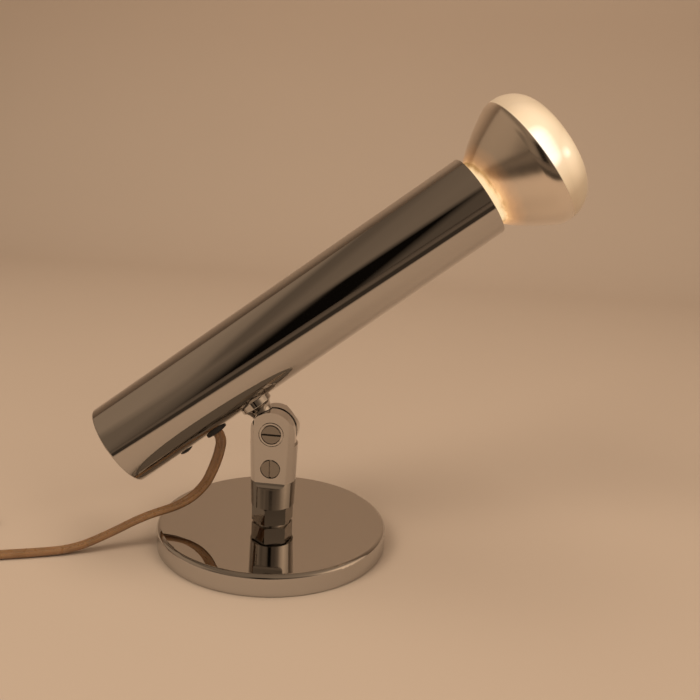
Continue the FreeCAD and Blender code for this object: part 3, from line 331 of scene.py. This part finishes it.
def cord_material():
    """Clear amber sheath over the strands: glossy, with a little light through it."""
    material, tree, shader = new_material("cord_amber")
    deep = tuple(0.72 * c for c in CORD_AMBER)
    tree.links.new(
        ramp(tree, noise(tree, 60.0, 4.0), [(0.3, deep), (0.7, CORD_AMBER)]),
        shader.inputs["Base Color"],
    )
    tree.links.new(ramp(tree, noise(tree, 300.0), [(0.3, 0.24), (0.7, 0.38)]), shader.inputs["Roughness"])
    shader.inputs["Subsurface Weight"].default_value = 0.25
    shader.inputs["Subsurface Radius"].default_value = (0.004, 0.002, 0.0008)
    shader.inputs["Subsurface Scale"].default_value = 1.0
    shader.inputs["Coat Weight"].default_value = 0.35
    shader.inputs["Coat Roughness"].default_value = 0.15
    bump(tree, shader, noise(tree, 500.0, 2.0), 0.08, 0.0002)
    return material


def silver_finish(tree, silver, beyond):
    """Mirror silvering, with the lamp's glow through it at the neck, on the camera's side."""
    silver.inputs["Metallic"].default_value = 1.0
    silver.inputs["Coat Weight"].default_value = 0.6
    silver.inputs["Coat Roughness"].default_value = 0.05
    tint = ramp(tree, maths(tree, "DIVIDE", beyond, 0.04), [
        (0.0, (0.80, 0.66, 0.50)), (0.4, (0.80, 0.73, 0.64)), (1.0, (0.84, 0.77, 0.68))])
    tree.links.new(tint, silver.inputs["Base Color"])
    rough = ramp(tree, noise(tree, 45.0, 4.0), [(0.3, 0.15), (0.7, 0.23)])
    tree.links.new(rough, silver.inputs["Roughness"])
    bump(tree, silver, noise(tree, 130.0, 3.0), 0.06, 0.0003)
    streaks = noise(tree, 120.0, 5.0, (1.0, 1.0, 0.5))
    reach = maths(tree, "SUBTRACT", beyond, maths(tree, "MULTIPLY", streaks, 0.006))
    fading = ramp(tree, maths(tree, "DIVIDE", spot_reach(tree, GLOW_SPOT), 0.05), [
        (0.25, 0.0), (0.50, 0.35), (0.75, 0.7), (0.95, 1.0)])
    reach = maths(tree, "ADD", reach, maths(tree, "MULTIPLY", fading, 0.010))
    glow = ramp(tree, maths(tree, "DIVIDE", reach, 0.02), [
        (0.0, (1.0, 0.76, 0.44)), (0.06, (1.0, 0.66, 0.34)), (0.16, (0.50, 0.27, 0.10)),
        (0.34, (0.22, 0.095, 0.03)), (0.55, (0.07, 0.026, 0.007)), (0.85, (0.0, 0.0, 0.0))])
    tree.links.new(glow, silver.inputs["Emission Color"])
    silver.inputs["Emission Strength"].default_value = 1.0


def frost_finish(tree):
    """Frosted glass with the lamp's light behind it, brightest at its spots."""
    frost = tree.nodes.new("ShaderNodeBsdfPrincipled")
    frost.inputs["Roughness"].default_value = 0.34
    frost.inputs["Coat Weight"].default_value = 0.35
    frost.inputs["Coat Roughness"].default_value = 0.12
    cloud = noise(tree, 26.0, 2.0)
    glass = ramp(tree, cloud, [(0.3, (0.43, 0.32, 0.215)), (0.7, (0.52, 0.39, 0.26))])
    tree.links.new(glass, frost.inputs["Base Color"])
    reach = maths(tree, "ADD", spot_reach(tree, SMALL_SPOT), 0.004)
    for place in HOT_SPOTS:
        reach = maths(tree, "MINIMUM", reach, spot_reach(tree, place))
    uneven = maths(tree, "MULTIPLY", maths(tree, "SUBTRACT", cloud, 0.5), 0.014)
    shine = ramp(tree, maths(tree, "DIVIDE", maths(tree, "ADD", reach, uneven), 0.05), [
        (0.0, (1.0, 0.95, 0.84)), (0.08, (0.95, 0.85, 0.68)), (0.17, (0.56, 0.44, 0.28)),
        (0.38, (0.40, 0.29, 0.17)), (0.60, (0.16, 0.11, 0.06)), (1.0, (0.09, 0.062, 0.034))])
    tree.links.new(shine, frost.inputs["Emission Color"])
    frost.inputs["Emission Strength"].default_value = 1.0
    bump(tree, frost, noise(tree, 900.0, 2.0), 0.25, 0.0002)
    return frost


def bulb_material():
    """The lit bulb: silvered from its neck to its widest ring, frosted glass beyond it."""
    material, tree, silver = new_material("bulb_glass")
    silver_finish(tree, silver, maths(tree, "SUBTRACT", along_tube(tree), MOUTH))
    frost = frost_finish(tree)
    past_edge = maths(tree, "SUBTRACT", along_tube(tree, ALONG + STEM * SILVER_LEAN), MOUTH + SILVER_EDGE)
    mix = tree.nodes.new("ShaderNodeMixShader")
    tree.links.new(maths(tree, "MULTIPLY", past_edge, EDGE_SHARPNESS, clamp=True), mix.inputs["Fac"])
    tree.links.new(silver.outputs["BSDF"], mix.inputs[1])
    tree.links.new(frost.outputs["BSDF"], mix.inputs[2])
    tree.links.new(mix.outputs["Shader"], tree.nodes["Material Output"].inputs["Surface"])
    return material


def clear_glass():
    """The glass of the bulb's inner mount."""
    material, tree, shader = new_material("clear_glass")
    shader.inputs["Transmission Weight"].default_value = 1.0
    shader.inputs["Roughness"].default_value = 0.03
    shader.inputs["Base Color"].default_value = (0.93, 0.95, 0.95, 1.0)
    bump(tree, shader, noise(tree, 80.0), 0.05, 0.0002)
    return material


def make_materials():
    """One material for each slot of the record."""
    return {
        "felt": plain_material("felt", (0.03, 0.03, 0.032), 0.95, grain=500.0, relief=0.6),
        "cast_iron": plain_material("cast_iron", (0.09, 0.09, 0.095), 0.6, 0.7, 90.0, 0.5),
        "chrome": chrome_material(),
        "steel": plain_material("steel", (0.5, 0.5, 0.51), 0.32, 1.0, 140.0, 0.1),
        "screw_steel": chrome_material("screw_steel", (0.27, 0.25, 0.225), (0.12, 0.22), 0.4),
        "black_plastic": plain_material("black_plastic", (0.016, 0.015, 0.014), 0.35, 0.0, 300.0, 0.15),
        "black_rubber": plain_material("black_rubber", (0.02, 0.018, 0.017), 0.6, 0.0, 320.0, 0.3),
        "cord_amber": cord_material(),
        "porcelain": plain_material("porcelain", (0.82, 0.80, 0.75), 0.2, 0.0, 60.0, 0.05, 0.05),
        "brass": plain_material("brass", (0.62, 0.44, 0.19), 0.28, 1.0, 120.0, 0.1),
        "solder": plain_material("solder", (0.4, 0.4, 0.41), 0.45, 1.0, 160.0, 0.3),
        "black_glass": plain_material("black_glass", (0.012, 0.012, 0.018), 0.1, 0.0, 90.0, 0.05),
        "cap_aluminium": plain_material("cap_aluminium", (0.66, 0.66, 0.67), 0.3, 1.0, 120.0, 0.1),
        "bulb_glass": bulb_material(),
        "clear_glass": clear_glass(),
        "tungsten": plain_material("tungsten", (0.2, 0.19, 0.18), 0.4, 1.0, 300.0, 0.1),
        "plug_brown": plain_material("plug_brown", (0.10, 0.042, 0.016), 0.35, 0.0, 240.0, 0.15),
    }


def finish_nodes(materials):
    """Each CAD node gets the material of its record slot."""
    for part in frame["record"]["subparts"]:
        node = frame["nodes"][part["node"]]
        node.data.materials.clear()
        node.data.materials.append(materials[part["material_slot"]])


# The flat twin cord, in metres from the bushing to the plug. TUBE_ROOM is the diameter of the tube
# that stands for it in the solids. PULL_IN is how far the spline draws a turn of the coil inward.

CORD_THICKNESS = 0.0037
WEB_HALF = 0.0011
TUBE_ROOM = 0.0056
EXIT_STRAIGHT = 0.0050
LEAD_STRAIGHT = 0.020
TAIL_STRAIGHT = 0.012
TAIL_REACH = 0.013
TAIL_LEAN = math.radians(8.0)
COIL_CENTRE = Vector((-0.250, -0.046, 0.0))
COIL_START = math.radians(291.7)
COIL_RADIUS = 0.049
COIL_PITCH = 0.0063
COIL_LAYER = 0.0063
LAYER_TURNS = 2.875
COIL_LIFT = 0.0006
POINTS_PER_TURN = 16
PULL_IN = 0.98088

# How far the cord is rolled from lying flat, in degrees by its length from the exit, once it has
# settled on what it lies on

SETTLED = 0.085
LAID_ROLLS = [(0.15, 6.0), (0.24, 32.0), (0.29, 45.0)]


def coil_spot(turns, spread=1.0):
    """A point of the coil's centreline after some turns, and the cord's direction there."""
    rate = COIL_PITCH / (2 * math.pi)
    tight = COIL_RADIUS - COIL_PITCH * LAYER_TURNS
    level = COIL_LIFT + TUBE_ROOM / 2
    if turns <= LAYER_TURNS:
        radius, swell, height, rise = COIL_RADIUS - COIL_PITCH * turns, -rate, level, 0.0
    elif turns >= LAYER_TURNS + 0.5:
        radius = tight + COIL_PITCH * (turns - LAYER_TURNS - 0.5)
        swell, height, rise = rate, level + COIL_LAYER, 0.0
    else:
        way = 2 * math.pi * (turns - LAYER_TURNS)
        radius = tight - rate * (way - way * way / math.pi)
        swell = -rate * (1 - 2 * way / math.pi)
        height = level + COIL_LAYER * (way / math.pi - math.sin(2 * way) / (2 * math.pi))
        rise = COIL_LAYER / math.pi * (1 - math.cos(2 * way))
    angle = COIL_START - 2 * math.pi * turns
    out = Vector((math.cos(angle), math.sin(angle), 0.0))
    on = Vector((math.sin(angle), -math.cos(angle), 0.0))
    spot = COIL_CENTRE + out * radius * spread + Vector((0.0, 0.0, height))
    return spot, (out * swell + on * radius + Vector((0.0, 0.0, rise))).normalized()


def cord_points():
    """The route's points, from the exit over the base's edge and along the table to the plug."""
    floor = TUBE_ROOM / 2
    start, way = coil_spot(0.0)
    coil_end = start - way * TUBE_ROOM
    total = 2 * LAYER_TURNS + 0.5
    count = round(total * POINTS_PER_TURN)
    last, leave = coil_spot(total)
    flat_leave = Vector((leave.x, leave.y, 0.0)).normalized()
    tail = last + leave * TUBE_ROOM
    bend = tail + flat_leave * TAIL_STRAIGHT
    lean = Quaternion((0.0, 0.0, 1.0), TAIL_LEAN) @ flat_leave
    lead = [
        CORD_EXIT,
        CORD_EXIT - STEM * EXIT_STRAIGHT,
        Vector((-0.0364, -0.0066, 0.0670)),
        Vector((-0.0400, -0.0079, 0.0545)),
        Vector((-0.0466, -0.0109, 0.0395)),
        Vector((-0.0605, -0.0175, 0.0278)),
        Vector((-0.0830, -0.0285, 0.0224)),
        Vector((-0.1055, -0.0390, 0.0110)),
        Vector((-0.1260, -0.0490, floor + 0.0002)),
        Vector((-0.1500, -0.0590, floor)),
        Vector((-0.1780, -0.0690, floor)),
        Vector((-0.2030, -0.0805, floor)),
        coil_end - way * LEAD_STRAIGHT,
        coil_end,
    ]
    wound = [coil_spot(total * k / count, 1 / PULL_IN)[0] for k in range(1, count)]
    return lead + wound + [tail, bend, bend + lean * TAIL_REACH]


def nurbs_line(points, steps):
    """The smooth line of an open NURBS spline with those control points."""
    curve = bpy.data.curves.new("route", "CURVE")
    curve.dimensions = "3D"
    curve.resolution_u = steps
    spline = curve.splines.new("NURBS")
    spline.points.add(len(points) - 1)
    for slot, place in zip(spline.points, points):
        slot.co = (*place, 1.0)
    spline.order_u = 3
    spline.use_endpoint_u = True
    obj = bpy.data.objects.new("route", curve)
    mesh = bpy.data.meshes.new_from_object(obj)
    line = [v.co.copy() for v in mesh.vertices]
    bpy.data.objects.remove(obj)
    bpy.data.curves.remove(curve)
    bpy.data.meshes.remove(mesh)
    return line


def twin_section():
    """The outline of two round conductors joined by a thin web, as (across, up) pairs."""
    radius = CORD_THICKNESS / 2
    start = math.pi - math.asin(WEB_HALF / radius)
    right = [start * (k / 5.5 - 1) for k in range(12)]
    side = [(radius + radius * math.cos(a), radius * math.sin(a)) for a in right]
    return side + [(-x, -y) for x, y in side]


def laid_roll(length):
    """How far the cord is rolled from lying flat, at a length from its exit."""
    for (low, less), (high, more) in zip(LAID_ROLLS, LAID_ROLLS[1:]):
        if length < high:
            share = max(0.0, (length - low) / (high - low))
            return math.radians(less + (more - less) * share)
    return math.radians(LAID_ROLLS[-1][1])


def cord_frames(line):
    """The cord's across and up directions at each point of its line."""
    ways = [(b - a).normalized() for a, b in zip(line, line[1:])]
    ways = [ways[0]] + [(a + b).normalized() for a, b in zip(ways, ways[1:])] + [ways[-1]]
    carried = [(ALONG - ways[0] * ALONG.dot(ways[0])).normalized()]
    for way in ways[1:]:
        carried.append((carried[-1] - way * carried[-1].dot(way)).normalized())
    lengths = [0.0]
    for a, b in zip(line, line[1:]):
        lengths.append(lengths[-1] + (b - a).length)
    rolls = []
    for way, across, length in zip(ways, carried, lengths):
        if length < SETTLED:
            rolls.append(None)
            continue
        near = Vector((0.0, 0.0, 1.0)).cross(way).normalized()
        up = way.cross(near)
        laid = laid_roll(length)
        wanted = near * math.cos(laid) - up * math.sin(laid)
        roll = math.atan2(way.cross(across).dot(wanted), across.dot(wanted))
        before = next((r for r in reversed(rolls) if r is not None), 0.0)
        rolls.append(roll + math.pi * round((before - roll) / math.pi))
    first = next(r for r in rolls if r is not None)
    frames = []
    for way, across, length, roll in zip(ways, carried, lengths, rolls):
        if roll is None:
            share = length / SETTLED
            roll = first * share * share * (3 - 2 * share)
        side = Quaternion(way, roll) @ across
        frames.append((side, way.cross(side)))
    return frames


def add_cord(material):
    """The flat twin cord in one piece, from the bushing to the plug."""
    line = nurbs_line(cord_points(), 8)
    section = twin_section()
    points = []
    for place, (side, up) in zip(line, cord_frames(line)):
        points += [place + side * x + up * y for x, y in section]
    n = len(section)
    faces = []
    for ring in range(len(line) - 1):
        a, b = ring * n, (ring + 1) * n
        faces += [(a + k, a + (k + 1) % n, b + (k + 1) % n, b + k) for k in range(n)]
    faces.append(tuple(reversed(range(n))))
    faces.append(tuple(range((len(line) - 1) * n, len(line) * n)))
    cord = add_mesh("twin_cord", points, faces)
    cord.data.materials.append(material)
    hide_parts("cord_lead", "cord_coil", "cord_tail")
    total = sum((b - a).length for a, b in zip(line, line[1:]))
    print("cord length", round(total, 4))
    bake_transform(cord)


def main():
    bpy.context.scene.view_settings.view_transform = "Standard"
    add_camera()
    add_world()
    add_backdrop()
    for lamp in LAMPS:
        add_light(*lamp)
    materials = make_materials()
    finish_nodes(materials)
    add_cord(materials["cord_amber"])


main()
